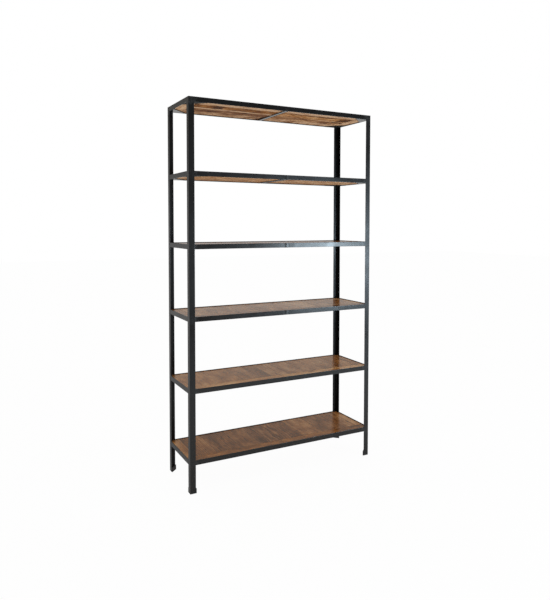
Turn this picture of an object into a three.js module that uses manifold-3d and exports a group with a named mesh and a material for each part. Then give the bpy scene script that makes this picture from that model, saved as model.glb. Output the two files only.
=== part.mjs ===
// Open bookcase: four angle-iron posts on corner feet carry six trays of flat
// bar. Each tray has a front, a back and two side rails on edge, with a plate
// in each corner and a cross bar at mid-span, all level with the rails' lower
// edges. Two wooden boards lie on the plates and the bar, inside the rails.
// Millimetres, +Z up, front towards -Y, origin on the floor under the middle.

import * as THREE from 'three';
import { mergeVertices } from 'three/addons/utils/BufferGeometryUtils.js';
import Module from 'manifold-3d';

const wasm = await Module();
wasm.setup();

// ---- Overall sizes
const width = 1100; // over the outer faces of the posts, along X
const depth = 345; // over the outer faces of the posts, along Y
const shelfCount = 6;
const lowestShelfTop = 170; // floor to the top edge of the lowest tray
const shelfPitch = 366; // top edge of one tray to the top edge of the next
const height = lowestShelfTop + (shelfCount - 1) * shelfPitch;

// ---- Posts: equal angles with the corner turned outwards
const postLeg = 30;
const postWall = 3;

// ---- Tray rails: flat bars on edge, butted between the posts
const railHeight = 25;
const railWall = 3;

// ---- Corner plates, welded to the rails at their lower edges
const plateLeg = 100; // along each side, from the inner face of the rail
const plateThickness = 4;
const plateSnip = 6; // cropped outer corner, clear of the post's root

// ---- Cross bar, its upper face level with the plates'
const barWidth = 20;
const barThickness = 4;

// ---- Boards
const boardThickness = 18;
const boardClearance = 1; // to the rails and posts around it
const boardJoint = 1; // between the two boards of a tray
const boardArris = 1.5; // bevel around both faces

// ---- Corner feet
const footLeg = 34; // along each side, past the end of the post's leg
const footTip = 5; // blunt end of the foot's long points
const footBase = 5; // thickness under the post
const footUpstand = 20; // height inside and around the post's end
const footFit = 0.3; // clearance between the upstand and the post

// ---- Finishes
const paint = { color: 0x1c1d20, roughness: 0.36, metalness: 0.25 };
const oiledWood = { color: 0x8a5a33, roughness: 0.42, metalness: 0 };
const plastic = { color: 0x0d0d0e, roughness: 0.6, metalness: 0 };

// ---- Derived places
const halfWidth = width / 2;
const halfDepth = depth / 2;
const postFoot = footBase; // the posts stand on the bases of the feet
const railAcross = width - 2 * postLeg; // front and back rails, post to post
const railAlong = depth - 2 * postLeg; // side rails, post to post
const insideWall = Math.max(railWall, postWall); // what stands around the boards
const shelves = Array.from({ length: shelfCount }, (_, i) => i + 1);
const corners = [
  { name: 'front_left', side: -1, end: -1 },
  { name: 'front_right', side: 1, end: -1 },
  { name: 'back_left', side: -1, end: 1 },
  { name: 'back_right', side: 1, end: 1 },
];

function shelfTop(number) {
  return lowestShelfTop + (number - 1) * shelfPitch;
}

// ---- Shapes

// Straight prism on a closed outline, from z = 0 upwards.
function prism(points, length) {
  const outline = new THREE.Shape(points.map(([x, y]) => new THREE.Vector2(x, y)));
  return new THREE.ExtrudeGeometry(outline, { depth: length, bevelEnabled: false });
}

// Equal angle section with its outer corner at 0, 0.
function angleSection(leg, wall, signU, signV) {
  const points = [
    [0, 0],
    [leg, 0],
    [leg, wall],
    [wall, wall],
    [wall, leg],
    [0, leg],
  ];
  return points.map(([u, v]) => [u * signU, v * signV]);
}

// ---- Joining and cutting

function toSolid(geometry) {
  const bare = geometry.clone();
  bare.deleteAttribute('normal');
  bare.deleteAttribute('uv');
  const merged = mergeVertices(bare);
  return new wasm.Manifold(new wasm.Mesh({
    numProp: 3,
    vertProperties: new Float32Array(merged.attributes.position.array),
    triVerts: new Uint32Array(merged.index.array),
  }));
}

function toGeometry(solid) {
  const mesh = solid.getMesh();
  const geometry = new THREE.BufferGeometry();
  geometry.setAttribute('position', new THREE.BufferAttribute(mesh.vertProperties, 3));
  geometry.setIndex(new THREE.BufferAttribute(mesh.triVerts, 1));
  geometry.computeVertexNormals();
  return geometry;
}

// ---- Sub-parts, each in its own frame

// Origin at the outer corner of the post, at the post's lower end.
function postGeometry({ side, end }) {
  return prism(angleSection(postLeg, postWall, -side, -end), height - postFoot);
}

// Origin at the outer corner of the post, on the floor.
function footGeometry({ side, end }) {
  const outline = [
    [0, 0],
    [footLeg, 0],
    [footLeg, footTip],
    [footTip, footLeg],
    [0, footLeg],
  ];
  const place = ([u, v]) => [u * -side, v * -end];
  const block = toSolid(prism(outline.map(place), footBase + footUpstand));
  const reach = postLeg + footFit;
  const wall = postWall + footFit;
  const beyond = -1;
  const socket = [
    [beyond, beyond],
    [reach, beyond],
    [reach, wall],
    [wall, wall],
    [wall, reach],
    [beyond, reach],
  ];
  const cutter = prism(socket.map(place), footUpstand + 1).translate(0, 0, footBase);
  return toGeometry(block.subtract(toSolid(cutter)));
}

// Front or back rail. Origin on its outer face, at its lower edge, halfway along.
function crossRailGeometry(end) {
  const bar = new THREE.BoxGeometry(railAcross, railWall, railHeight);
  return bar.translate(0, -end * railWall / 2, railHeight / 2);
}

// Three-cornered plate in a tray's corner, seen from above, with two sides
// against the rails and the outer corner of the post at 0, 0.
function plateOutline(side, end) {
  const far = railWall + plateLeg;
  const outline = [
    [railWall + plateSnip, railWall],
    [far, railWall],
    [railWall, far],
    [railWall, railWall + plateSnip],
  ];
  return outline.map(([u, v]) => [u * -side, v * -end]);
}

// Corner plate in its place on a side rail, clear of the post where the post's
// wall is thicker than the rail's.
function plateSolid(side, end) {
  const over = 1;
  const y = end * halfDepth;
  const plate = prism(plateOutline(side, end), plateThickness).translate(0, y, 0);
  const post = prism(angleSection(postLeg, postWall, -side, -end), plateThickness + 2 * over);
  return toSolid(plate).subtract(toSolid(post.translate(0, y, -over)));
}

// Side rail with its two corner plates welded on. Origin on the rail's outer
// face, at its lower edge, halfway along.
function sideRailGeometry(side) {
  const bar = new THREE.BoxGeometry(railWall, railAlong, railHeight);
  let solid = toSolid(bar.translate(-side * railWall / 2, 0, railHeight / 2));
  for (const end of [-1, 1]) {
    solid = solid.add(plateSolid(side, end));
  }
  return toGeometry(solid);
}

// Flat bar from the front rail to the back rail. Origin at its middle, on its
// lower face.
function crossBarGeometry() {
  const bar = new THREE.BoxGeometry(barWidth, depth - 2 * railWall, barThickness);
  return bar.translate(0, 0, barThickness / 2);
}

// One of the two boards of a tray. Origin at its middle, on its lower face.
const boardLength = (width - 2 * insideWall - 2 * boardClearance - boardJoint) / 2;
const boardDepth = depth - 2 * insideWall - 2 * boardClearance;

function boardGeometry() {
  const u = boardLength / 2 - boardArris;
  const v = boardDepth / 2 - boardArris;
  const outline = new THREE.Shape([
    new THREE.Vector2(-u, -v),
    new THREE.Vector2(u, -v),
    new THREE.Vector2(u, v),
    new THREE.Vector2(-u, v),
  ]);
  const board = new THREE.ExtrudeGeometry(outline, {
    depth: boardThickness - 2 * boardArris,
    bevelEnabled: true,
    bevelThickness: boardArris,
    bevelSize: boardArris,
    bevelSegments: 1,
  });
  return board.translate(0, 0, boardArris);
}

// ---- Assembly

const bookcase = new THREE.Group();
bookcase.name = 'bookcase';

function add(parent, name, geometry, finish, x, y, z) {
  const mesh = new THREE.Mesh(geometry, new THREE.MeshStandardMaterial(finish));
  mesh.name = name;
  mesh.position.set(x, y, z);
  parent.add(mesh);
}

for (const corner of corners) {
  const x = corner.side * halfWidth;
  const y = corner.end * halfDepth;
  add(bookcase, `post_${corner.name}`, postGeometry(corner), paint, x, y, postFoot);
  add(bookcase, `foot_${corner.name}`, footGeometry(corner), plastic, x, y, 0);
}

// A tray's own frame lies on the lower edges of its rails.
function addTray(number) {
  const tray = new THREE.Group();
  const name = `shelf_${number}`;
  tray.position.z = shelfTop(number) - railHeight;
  bookcase.add(tray);
  add(tray, `${name}_rail_front`, crossRailGeometry(-1), paint, 0, -halfDepth, 0);
  add(tray, `${name}_rail_back`, crossRailGeometry(1), paint, 0, halfDepth, 0);
  add(tray, `${name}_rail_left`, sideRailGeometry(-1), paint, -halfWidth, 0, 0);
  add(tray, `${name}_rail_right`, sideRailGeometry(1), paint, halfWidth, 0, 0);
  const seat = plateThickness;
  add(tray, `${name}_cross_bar`, crossBarGeometry(), paint, 0, 0, seat - barThickness);
  const boardCentre = (boardLength + boardJoint) / 2;
  add(tray, `${name}_board_left`, boardGeometry(), oiledWood, -boardCentre, 0, seat);
  add(tray, `${name}_board_right`, boardGeometry(), oiledWood, boardCentre, 0, seat);
}

for (const number of shelves) {
  addTray(number);
}

export default bookcase;
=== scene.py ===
# %% [markdown]
# # An open bookcase of black steel and wood
#
# The real bookcase is a welded frame: four upright posts of 30 mm steel angle, and six trays of
# 25 mm flat bar between them. Two loose wooden boards lie in each tray. This lesson keeps the
# measured frame that comes with the part and builds the finished look around it, piece by piece.

# %% Load the measured frame
import math
import random

import bmesh
import bpy
from mathutils import Matrix, Vector


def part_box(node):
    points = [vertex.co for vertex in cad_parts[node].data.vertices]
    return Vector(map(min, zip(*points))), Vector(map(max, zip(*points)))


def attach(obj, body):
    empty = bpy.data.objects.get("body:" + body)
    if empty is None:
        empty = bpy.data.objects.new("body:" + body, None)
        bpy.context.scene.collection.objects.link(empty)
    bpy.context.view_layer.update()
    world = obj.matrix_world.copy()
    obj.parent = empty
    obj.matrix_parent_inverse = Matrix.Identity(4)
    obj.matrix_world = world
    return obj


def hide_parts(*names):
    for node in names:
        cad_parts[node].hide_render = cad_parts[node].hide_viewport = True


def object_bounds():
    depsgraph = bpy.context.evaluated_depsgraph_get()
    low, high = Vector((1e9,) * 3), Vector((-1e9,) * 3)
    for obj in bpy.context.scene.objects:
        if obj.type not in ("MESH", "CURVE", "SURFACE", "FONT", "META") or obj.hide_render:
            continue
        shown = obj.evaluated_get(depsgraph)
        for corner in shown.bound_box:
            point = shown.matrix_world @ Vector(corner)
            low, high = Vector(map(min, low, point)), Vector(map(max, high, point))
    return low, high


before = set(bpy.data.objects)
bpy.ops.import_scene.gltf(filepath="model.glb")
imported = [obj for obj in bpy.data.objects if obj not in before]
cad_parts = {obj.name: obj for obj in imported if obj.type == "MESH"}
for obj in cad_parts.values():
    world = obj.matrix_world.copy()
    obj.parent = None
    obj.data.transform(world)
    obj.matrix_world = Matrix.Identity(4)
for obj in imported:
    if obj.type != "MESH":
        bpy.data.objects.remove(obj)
cad_bounds = [[float(c) for c in corner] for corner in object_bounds()]
print("box:", cad_bounds)

# %% [markdown]
# ## The camera
#
# The viewer stands in front of the bookcase, to its left, at the height of a person's chest.
# From there the undersides of the two top shelves show, and the tops of the lower four. A
# camera can be placed by eye, but here its position, direction and lens are written as numbers,
# so that upright posts stay upright and the picture's edges stay where they belong.

# %% Place the camera
MM = 0.001
CAMERA_PLACE = Vector((-1.5226, -3.0266, 1.3733))
CAMERA_TURN = -0.5044  # to the right of straight ahead, in radians
CAMERA_TILT = -0.0434  # downwards
CAMERA_ROLL = 0.0024
CAMERA_LENS = 35.844
CAMERA_SENSOR = 36
CAMERA_SHIFT = (-0.0337, -0.0843)


def aim(turn, tilt, roll):
    """The rotation of a camera that looks along +Y until it is turned, tilted and rolled."""
    ahead = Vector((-math.sin(turn) * math.cos(tilt), math.cos(turn) * math.cos(tilt), math.sin(tilt)))
    level = Vector((math.cos(turn), math.sin(turn), 0))
    over = level.cross(ahead)
    side = level * math.cos(roll) + over * math.sin(roll)
    rise = over * math.cos(roll) - level * math.sin(roll)
    return Matrix((side, rise, -ahead)).transposed().to_4x4()


def add_object(name, data):
    """Puts a mesh, a lamp or a camera in the scene."""
    thing = bpy.data.objects.new(name, data)
    bpy.context.scene.collection.objects.link(thing)
    return thing


viewer = bpy.data.cameras.new("viewer")
viewer.lens = CAMERA_LENS
viewer.sensor_width = CAMERA_SENSOR
viewer.shift_x, viewer.shift_y = CAMERA_SHIFT
camera = add_object("viewer", viewer)
camera.matrix_world = Matrix.Translation(CAMERA_PLACE) @ aim(CAMERA_TURN, CAMERA_TILT, CAMERA_ROLL)
bpy.context.scene.camera = camera
print("camera:", [round(c, 3) for c in camera.location], "lens", viewer.lens)

# %% [markdown]
# ## A helper for node materials
#
# Every material below is a small graph. Writing each node and wire out in full hides the idea,
# so one class makes a node with its settings and wires it up in the same call, and has a short
# method for each kind of node that comes back often.


# %% Node helper
class Net:
    """A node graph that is being wired up."""

    def __init__(self, tree):
        self.tree = tree

    def put(self, kind, settings=None, **wires):
        """Adds a node. A wire is a number, a colour, or another node's output socket."""
        node = self.tree.nodes.new("ShaderNode" + kind)
        for name, value in (settings or {}).items():
            setattr(node, name, value)
        for name, value in wires.items():
            numbered = name[0] == "i" and name[1:].isdigit()
            socket = node.inputs[int(name[1:]) if numbered else name.replace("_", " ")]
            if isinstance(value, bpy.types.NodeSocket):
                self.tree.links.new(value, socket)
            else:
                socket.default_value = value
        return node

    def maths(self, operation, *values):
        wires = {f"i{k}": value for k, value in enumerate(values)}
        return self.put("Math", {"operation": operation}, **wires).outputs[0]

    def plus(self, first, second):
        return self.maths("ADD", first, second)

    def times(self, first, second):
        return self.maths("MULTIPLY", first, second)

    def times_plus(self, first, second, third):
        return self.maths("MULTIPLY_ADD", first, second, third)

    def remap(self, value, low, high, start=0.0, stop=1.0, smooth=False):
        """Turns low..high into start..stop, with soft ends if smooth, and holds the rest."""
        curve = {"interpolation_type": "SMOOTHSTEP" if smooth else "LINEAR"}
        ends = {"From_Min": low, "From_Max": high, "To_Min": start, "To_Max": stop}
        return self.put("MapRange", curve, Value=value, **ends).outputs[0]

    def noise(self, place, scale, detail, roughness, distortion=0.0):
        rest = {"Detail": detail, "Roughness": roughness, "Distortion": distortion}
        return self.put("TexNoise", None, Vector=place, Scale=scale, **rest).outputs[0]

    def blend(self, share, first, second):
        """A colour between two others."""
        return self.put("Mix", {"data_type": "RGBA"}, i0=share, i6=first, i7=second).outputs[2]

    def ramp(self, value, stops):
        """A colour from a row of (place, colour) stops."""
        node = self.put("ValToRGB", None, Fac=value)
        points = node.color_ramp.elements
        while len(points) < len(stops):
            points.new(0.5)
        for point, (place, colour) in zip(points, stops):
            point.position = place
            point.color = (*colour, 1)
        return node.outputs["Color"]

    def split(self, space):
        """The three parts of a place, or of a direction in the world."""
        return self.put("SeparateXYZ", None, Vector=self.put("TexCoord").outputs[space]).outputs

    def mark(self, name):
        """A number that the mesh carries."""
        return self.put("Attribute", {"attribute_name": name}).outputs["Fac"]

    def glow(self, kind, colour, strength=1.0):
        return self.put(kind, None, Color=colour, Strength=strength).outputs[0]

    def mix_shaders(self, share, first, second):
        return self.put("MixShader", None, Fac=share, i1=first, i2=second).outputs[0]

    def group(self, group, **wires):
        """Places a node group. Returns its outputs."""
        return self.put("Group", {"node_tree": group}, **wires).outputs

    def surface(self, colour, roughness, ior, gloss, height, depth, strength):
        """Ends a material: a glossy surface, with a bump of this depth from a height."""
        bump = self.put("Bump", None, Height=height, Distance=depth, Strength=strength).outputs[0]
        looks = {"Base_Color": colour, "Roughness": roughness, "IOR": ior, "Specular_IOR_Level": gloss}
        shader = self.put("BsdfPrincipled", None, **looks, Normal=bump)
        self.put("OutputMaterial", None, Surface=shader.outputs[0])

    def give(self, **values):
        """Ends a node group by wiring up its outputs. Returns the group."""
        ends = self.tree.nodes.new("NodeGroupOutput").inputs
        for name, value in values.items():
            self.tree.links.new(value, ends[name])
        return self.tree


def new_net(owner):
    """An empty graph in a material or a world."""
    owner.use_nodes = True
    owner.node_tree.nodes.clear()
    return Net(owner.node_tree)


def new_material(name):
    material = bpy.data.materials.new(name)
    return material, new_net(material)


def new_group(name, inputs, *outputs):
    """A node group. An input without a number is a place. Returns its net and its inputs."""
    tree = bpy.data.node_groups.new(name, "ShaderNodeTree")
    for label, number in inputs.items():
        kind = "Vector" if number is None else "Float"
        socket = tree.interface.new_socket(label, in_out="INPUT", socket_type="NodeSocket" + kind)
        if number is not None:
            socket.default_value = number
    for label in outputs:
        kind = "Color" if label == "Color" else "Float"
        tree.interface.new_socket(label, in_out="OUTPUT", socket_type="NodeSocket" + kind)
    return Net(tree), tree.nodes.new("NodeGroupInput").outputs


print("helpers ready")

# %% [markdown]
# ## The studio
#
# The bookcase stands on a pale floor in an even, white room. The viewer sees floor and room as
# plain white, and the light that they give to the bookcase stays at a plain level, so a colour
# renders about as it is written.
#
# Black paint and lacquer take most of their look from what they mirror, so for gloss the room
# has some shape, as a real studio does: a bright wall behind, brightest to the right and along
# its foot, a dim ceiling, and a darker space in front, behind the viewer. One soft lamp stands
# in front, to the right: its cool sheen crosses the middle of the rails and posts.


# %% Room
ROOM_LIGHT = 0.85  # what a matt surface receives
ROOM_COLOUR = (1.0, 0.99, 0.975, 1)
WHITE = (1, 1, 1, 1)
WARM_TINT = (1.0, 0.93, 0.82)
RAMP_START = 0.1  # the ramps below start this far under level

# What gloss sees, as (upward part of the direction, brightness, warmth).
WALL_BEHIND = [
    (-0.10, 0.62, 0.0), (0.03, 0.74, 0.0), (0.10, 0.45, 0.3), (0.25, 0.51, 0.8),
    (0.34, 0.43, 1.0), (0.60, 0.43, 1.0), (0.90, 0.20, 0.5),
]
SPACE_IN_FRONT = [
    (-0.10, 0.42, 0.0), (0.02, 0.40, 0.0), (0.08, 0.30, 0.0), (0.18, 0.22, 0.0),
    (0.40, 0.12, 0.0), (0.90, 0.10, 0.0),
]


def sky_stops(table):
    """Turns a table into the stops of a colour ramp."""
    stops = []
    for rise, bright, warmth in table:
        tint = [1 + warmth * (c - 1) for c in WARM_TINT]
        stops.append((rise + RAMP_START, tuple(bright * c for c in tint)))
    return stops


def rays(net):
    """Two masks: what the viewer sees, and what a mirroring or clear surface sees."""
    path = net.put("LightPath").outputs
    gloss = net.maths("MAXIMUM", path["Is Glossy Ray"], path["Is Transmission Ray"])
    return path["Is Camera Ray"], gloss


room = bpy.data.worlds.new("white room")
bpy.context.scene.world = room
bpy.context.scene.view_settings.view_transform = "Standard"
net = new_net(room)
seen, gloss = rays(net)
x, y, z = net.split("Generated")
rise = net.plus(z, RAMP_START)
behind = net.ramp(rise, sky_stops(WALL_BEHIND))
rightward = net.remap(x, -0.45, 0.15, 0.62, 1.0, smooth=True)
behind = net.put("VectorMath", {"operation": "SCALE"}, i0=behind, Scale=rightward).outputs[0]
in_front = net.ramp(rise, sky_stops(SPACE_IN_FRONT))
mirrored = net.blend(net.remap(y, -0.35, 0.25, smooth=True), in_front, behind)
light = net.glow("Background", ROOM_COLOUR, ROOM_LIGHT)
light = net.mix_shaders(gloss, light, net.glow("Background", mirrored))
light = net.mix_shaders(seen, light, net.glow("Background", WHITE))
net.put("OutputWorld", None, Surface=light)
print("room light:", ROOM_LIGHT)

# %% [markdown]
# The viewer sees the floor as white, with a soft shadow. Gloss sees it dimmer in two places: in
# front, beyond the white sweep that a studio lays out, and in a band close by on the left, so
# that the posts' left faces stay black down to the feet.

# %% Floor
FLOOR_SIZE = 40.0
FLOOR_COLOUR = (0.86, 0.855, 0.85, 1)
FLOOR_WHITE = 0.965  # share of plain white that the viewer sees; the rest takes the shadow
DIM_FLOOR = 0.36  # brightness of the dim places
SWEEP_END, SWEEP_FADE = 3.1, 0.8  # how far in front the white sweep ends, and how softly
BAND_START = (-0.62, -0.55)
BAND_END = (-1.5, -1.0)
BAND_DIM, LEFT_DIM = 0.95, 0.5  # share of dimness in the band, and to the left of it

mesh = bpy.data.meshes.new("floor")
half = FLOOR_SIZE / 2
corners = [(-half, -half, 0), (half, -half, 0), (half, half, 0), (-half, half, 0)]
mesh.from_pydata(corners, [], [(0, 1, 2, 3)])
floor = add_object("floor", mesh)
material, net = new_material("pale floor")
seen, gloss = rays(net)
x, y, z = net.split("Object")
beyond = net.remap(y, -SWEEP_END, SWEEP_FADE - SWEEP_END, 1.0, 0.0, smooth=True)
near_left = net.remap(x, *BAND_START, BAND_DIM, 0.0, smooth=True)
far_left = net.remap(x, *BAND_END, LEFT_DIM, BAND_DIM, smooth=True)
dimness = net.maths("MAXIMUM", beyond, net.maths("MINIMUM", near_left, far_left))
matt = net.put("BsdfDiffuse", None, Color=FLOOR_COLOUR).outputs[0]
light = net.mix_shaders(net.times(gloss, dimness), matt, net.glow("Emission", WHITE, DIM_FLOOR))
light = net.mix_shaders(net.times(seen, FLOOR_WHITE), light, net.glow("Emission", WHITE))
net.put("OutputMaterial", None, Surface=light)
mesh.materials.append(material)
print("floor:", FLOOR_SIZE, "m across")

# %% Lamp
LAMP_PLACE = Vector((2.13, -3.20, 1.02))
LAMP_TARGET = Vector((0.2, -0.17, 1.02))
LAMP_SIZE = (0.75, 0.60)
LAMP_POWER = 36
LAMP_COLOUR = (0.70, 0.87, 1.0)

light = bpy.data.lights.new("front lamp", "AREA")
light.shape = "RECTANGLE"
light.size, light.size_y = LAMP_SIZE
light.energy = LAMP_POWER
light.color = LAMP_COLOUR
lamp = add_object("front lamp", light)
lamp.location = LAMP_PLACE
lamp.rotation_euler = (LAMP_TARGET - LAMP_PLACE).to_track_quat("-Z", "Y").to_euler()
print("lamp:", lamp.name)

# %% [markdown]
# ## Shared effects
#
# Painted steel and lacquered wood look real through small changes over the surface. Each effect
# is a node group, built once and placed in each material with its own values: a fine orange peel
# in sprayed paint, dust and rubbed patches, the mottle of a dressed weld, wood grain with its
# pores and knots, and the colour of each stave.
#
# The meshes carry a few numbers on their points and corners, which the materials read: how close
# a point is to an edge, whether a weld was dressed there, and which stave of wood it is.


# %% Paint effects
def build_orange_peel():
    net, given = new_group("orange peel", {"Vector": None, "Size": 0.004}, "Height")
    scale = net.maths("DIVIDE", 1.0, given["Size"])
    coarse = net.noise(given["Vector"], scale, 1.0, 0.4)
    fine = net.noise(given["Vector"], net.times(scale, 4.3), 1.0, 0.5)
    return net.give(Height=net.plus(coarse, net.times(fine, 0.25)))


def build_dust():
    net, given = new_group("dust and rubbed patches", {"Vector": None, "Size": 0.15}, "Dust", "Rubbed")
    scale = net.maths("DIVIDE", 1.0, given["Size"])
    cloud = net.noise(given["Vector"], scale, 5.0, 0.65)
    speck = net.noise(given["Vector"], net.times(scale, 60.0), 2.0, 0.6)
    dust = net.times(net.remap(cloud, 0.42, 0.68), net.remap(speck, 0.40, 0.75))
    return net.give(Dust=dust, Rubbed=net.remap(cloud, 0.30, 0.52, 1.0, 0.0))


# Painted highlight: broken, paler patches along edges stand in for the sheen that catches them.
def build_painted_edge_highlight():
    net, given = new_group("painted edge highlight", {"Vector": None, "Edge": 0.0, "Amount": 0.5}, "Mask")
    broken = net.noise(given["Vector"], 55.0, 4.0, 0.7)
    edge_highlight = net.times(given["Edge"], net.times(broken, given["Amount"]))
    return net.give(Mask=net.remap(edge_highlight, 0.12, 0.45))


def build_dressed_weld():
    net, given = new_group("dressed weld", {"Vector": None, "Zone": 0.0}, "Mottle", "Height")
    blotch = net.noise(given["Vector"], 150.0, 3.0, 0.6, distortion=0.6)
    mottle = net.times(net.remap(blotch, 0.40, 0.66), given["Zone"])
    return net.give(Mottle=mottle, Height=net.times(blotch, given["Zone"]))


ORANGE_PEEL = build_orange_peel()
DUST = build_dust()
PAINTED_EDGE_HIGHLIGHT = build_painted_edge_highlight()
DRESSED_WELD = build_dressed_weld()
print("paint effects:", [g.name for g in (ORANGE_PEEL, DUST, PAINTED_EDGE_HIGHLIGHT, DRESSED_WELD)])


# %% Wood effects
GRAIN = ["Rings", "Fibres", "Pores", "Knots", "Blotches"]


def build_wood_grain():
    inputs = {"Vector": None, "Across": 0.0, "Seed": 0.0, "Ring Pitch": 0.009, "Blotch Width": 0.05}
    net, given = new_group("wood grain", inputs, *GRAIN, "Height")
    x, y, z = net.put("SeparateXYZ", None, Vector=given["Vector"]).outputs
    seed = given["Seed"]
    along = net.put("Mix", None, i0=given["Across"], i2=x, i3=y).outputs[0]
    across = net.put("Mix", None, i0=given["Across"], i2=y, i3=x).outputs[0]
    along = net.times_plus(seed, 7.31, along)
    across = net.times_plus(seed, 3.17, across)

    def place(run, reach, sideways, spread, depth):
        """A place in a noise: so many waves to a metre along the grain, and so many across it."""
        spot = {"X": net.times(run, reach), "Y": net.times(sideways, spread), "Z": depth}
        return net.put("CombineXYZ", None, **spot).outputs[0]

    # Long waves bend the grain sideways.
    wave = net.noise(place(along, 2.6, across, 9.0, seed), 1.0, 2.0, 0.5)
    bent = net.plus(across, net.times_plus(wave, 0.030, -0.015))

    def streaks(reach, spread, depth, detail, roughness):
        return net.noise(place(along, reach, bent, spread, depth), 1.0, detail, roughness)

    # Growth rings: distance from a heart line that runs along the stave, a little below it.
    sway = net.maths("SINE", net.times(seed, 41.0))
    aside = net.maths("SUBTRACT", bent, net.times_plus(sway, 0.030, net.times(seed, 3.17)))
    swing = net.maths("SINE", net.times(along, 4.0))
    below = net.times_plus(swing, 0.012, net.times_plus(wave, 0.060, 0.0))
    far = net.maths("SQRT", net.plus(net.times(aside, aside), net.times(below, below)))
    turns = net.maths("DIVIDE", far, given["Ring Pitch"])
    rings = net.remap(net.maths("PINGPONG", turns, 0.5), 0.05, 0.48, smooth=True)
    # Fibres and pores are noise stretched along the grain.
    fine = streaks(9.0, 420.0, net.times(z, 420.0), 3.0, 0.6)
    broad = streaks(3.0, 70.0, net.times(z, 70.0), 3.0, 0.6)
    fibres = net.times_plus(broad, 0.65, net.times(fine, 0.35))
    pores = net.remap(streaks(55.0, 1100.0, net.times(z, 1100.0), 1.0, 0.4), 0.64, 0.74)
    # Knots are rare dark eyes, longer along the grain.
    cell = net.put("TexVoronoi", None, Vector=place(along, 5.0, bent, 14.0, seed), Scale=1.0).outputs
    lot = net.put("SeparateColor", None, Color=cell["Color"]).outputs[0]
    eye = net.remap(cell["Distance"], 0.05, 0.16, 1.0, 0.0, smooth=True)
    knots = net.times(eye, net.maths("GREATER_THAN", lot, 0.80))
    # Checks are short dark cracks that follow the grain.
    checks = net.remap(streaks(14.0, 150.0, net.times(seed, 13.0), 1.0, 0.4), 0.27, 0.33, 0.5, 0.0)
    # Blotches are broad: heartwood, resin and stain that took unevenly.
    width = given["Blotch Width"]
    far_apart = net.maths("DIVIDE", along, net.times(width, 2.2))
    spot = {"X": far_apart, "Y": net.maths("DIVIDE", bent, width), "Z": net.times(seed, 5.0)}
    stain = net.noise(net.put("CombineXYZ", None, **spot).outputs[0], 1.0, 2.0, 0.5)
    mottle = streaks(46.0, 62.0, net.times(seed, 9.0), 3.0, 0.6)
    blotches = net.times_plus(mottle, 0.35, net.times(stain, 0.65))
    height = net.maths("SUBTRACT", net.times(fine, 0.35), net.times(pores, 0.3))
    height = net.times_plus(wave, 0.9, height)
    values = (rings, fibres, pores, net.maths("MAXIMUM", knots, checks), blotches)
    return net.give(Height=height, **dict(zip(GRAIN, values)))


# Colours of a stave from dark to pale, in five even steps.
PLAIN_WOOD = [
    (0.020, 0.008, 0.003), (0.098, 0.035, 0.012), (0.206, 0.086, 0.033), (0.360, 0.195, 0.095),
    (0.560, 0.370, 0.220),
]
WARM_WOOD = [
    (0.022, 0.007, 0.001), (0.110, 0.034, 0.006), (0.270, 0.098, 0.018), (0.450, 0.200, 0.055),
    (0.640, 0.380, 0.160),
]


def build_stave_colour():
    halves = {name: 0.5 for name in ("Tone", "Warmth", "Rings", "Fibres")}
    inputs = {**halves, "Pores": 0.0, "Knots": 0.0, "Blotches": 0.5, "Contrast": 1.0, "Patchiness": 0.5}
    net, given = new_group("stave colour", inputs, "Color")
    rings = net.times_plus(given["Rings"], 0.26, -0.13)
    fibres = net.times_plus(given["Fibres"], 0.90, -0.45)
    level = net.plus(given["Tone"], net.times(net.plus(rings, fibres), given["Contrast"]))
    patch = net.times(net.maths("SUBTRACT", given["Blotches"], 0.5), given["Patchiness"])
    level = net.times_plus(given["Pores"], -0.18, net.plus(level, patch))
    level = net.times_plus(given["Knots"], -0.75, level)
    plain, warm = [
        net.ramp(level, [(k / 4, colour) for k, colour in enumerate(row)])
        for row in (PLAIN_WOOD, WARM_WOOD)
    ]
    return net.give(Color=net.blend(given["Warmth"], plain, warm))


WOOD_GRAIN = build_wood_grain()
STAVE_COLOUR = build_stave_colour()
print("wood effects:", [g.name for g in (WOOD_GRAIN, STAVE_COLOUR)])

# %% [markdown]
# ## Satin black paint
#
# The steel was sprayed after welding. The paint is nearly black, so most of what the eye sees
# on it is sheen: grey where a face looks towards the bright wall at a low angle, black where it
# looks into the room. The material therefore puts its work into roughness and bump, and keeps
# the colour down. Dust lies in soft clouds, edges get a painted highlight a little paler than
# the paint, and the places where welds were ground back are mottled.
#
# Inside an angle and under a rail the faces get a third black, darker and duller, with half
# the gloss: painted shade for faces that lie hidden in the section.


# %% Paint material
def start_material(name, dust_size, highlight_amount, roughness):
    """Starts a material with what all of them share: dust, painted edge highlight, uneven roughness.

    Returns the material, its net, the place, and three values: dust, edge highlight and roughness."""
    material, net = new_material(name)
    here = net.put("TexCoord").outputs["Object"]
    dust = net.group(DUST, Vector=here, Size=dust_size)
    edge_highlight = net.group(PAINTED_EDGE_HIGHLIGHT, Vector=here, Edge=net.mark("edge"), Amount=highlight_amount)["Mask"]
    low, high = roughness
    return material, net, here, dust["Dust"], edge_highlight, net.remap(dust["Rubbed"], 0, 1, high, low)


SATIN_BLACK = (0.0010, 0.0011, 0.0014, 1)
# Painted shade: a darker black for faces inside the sections and under the rails.
SHADED_BLACK = (0.0008, 0.0009, 0.0011, 1)
PAINT_EDGE_HIGHLIGHT = (0.020, 0.021, 0.023, 1)
GROUND_WELD = (0.050, 0.052, 0.056, 1)


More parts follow.
